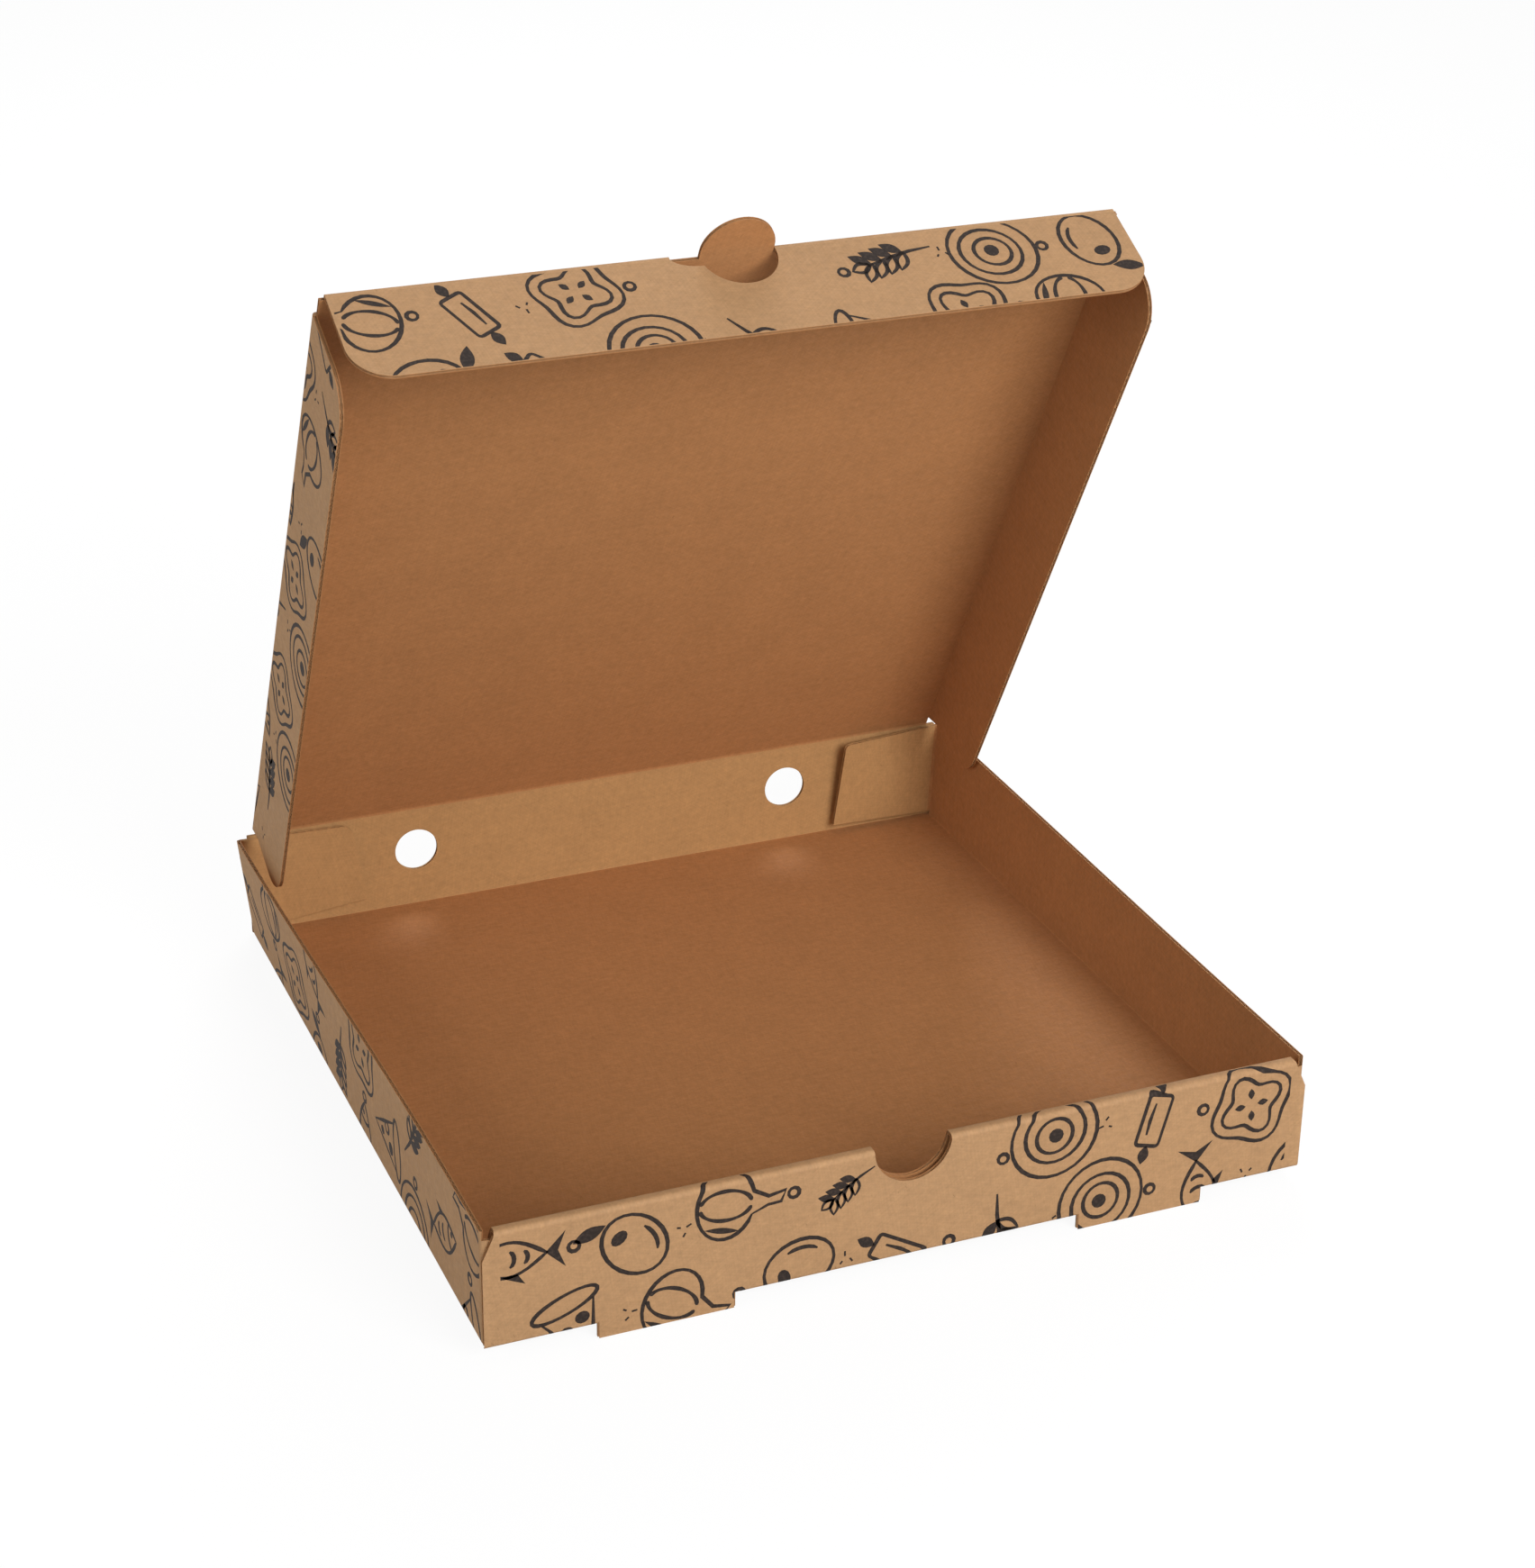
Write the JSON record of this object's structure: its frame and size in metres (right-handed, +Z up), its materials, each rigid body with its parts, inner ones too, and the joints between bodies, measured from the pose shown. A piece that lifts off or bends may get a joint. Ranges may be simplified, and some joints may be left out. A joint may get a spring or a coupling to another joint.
{
  "type": "pizza box",
  "caption": "Kraft corrugated pizza box folded from one sheet: square tray with a rolled-over front wall, hinged lid with tuck flaps and a thumb tab.",
  "frame": {"origin": "centre of the underside of the tray's floor", "axes": "+Z up, -Y towards the front wall with the thumb notch, +X to the right seen from the front"},
  "size_m": [0.33, 0.33, 0.3549],
  "materials": {
    "tray_board": "uncoated brown kraft liner, matt, with dark line print outside",
    "lid_board": "uncoated brown kraft liner, matt, with dark line print outside"
  },
  "bodies": {
    "tray": {"tray": "tray_board"},
    "lid_panel": {"lid_panel": "lid_board"},
    "lid_front_flap": {"lid_front_flap": "lid_board"},
    "lid_left_flap": {"lid_left_flap": "lid_board"},
    "lid_right_flap": {"lid_right_flap": "lid_board"}
  },
  "joints": [
    {"name": "lid_hinge", "type": "hinge", "parent": "tray", "child": "lid_panel", "pos_m": [0, 0.1642, 0.0491], "axis": [-1, 0, 0], "range_deg": [-62, 118]},
    {"name": "front_flap_hinge", "type": "hinge", "parent": "lid_panel", "child": "lid_front_flap", "pos_m": [0, 0.0128, 0.33385], "axis": [-1, 0, 0], "range_deg": [0, 90]},
    {"name": "left_flap_hinge", "type": "hinge", "parent": "lid_panel", "child": "lid_left_flap", "pos_m": [-0.1613, 0.08779, 0.1911], "axis": [0, -0.4695, 0.8829], "range_deg": [0, 85]},
    {"name": "right_flap_hinge", "type": "hinge", "parent": "lid_panel", "child": "lid_right_flap", "pos_m": [0.1613, 0.08779, 0.1911], "axis": [0, 0.4695, -0.8829], "range_deg": [0, 85]}
  ]
}
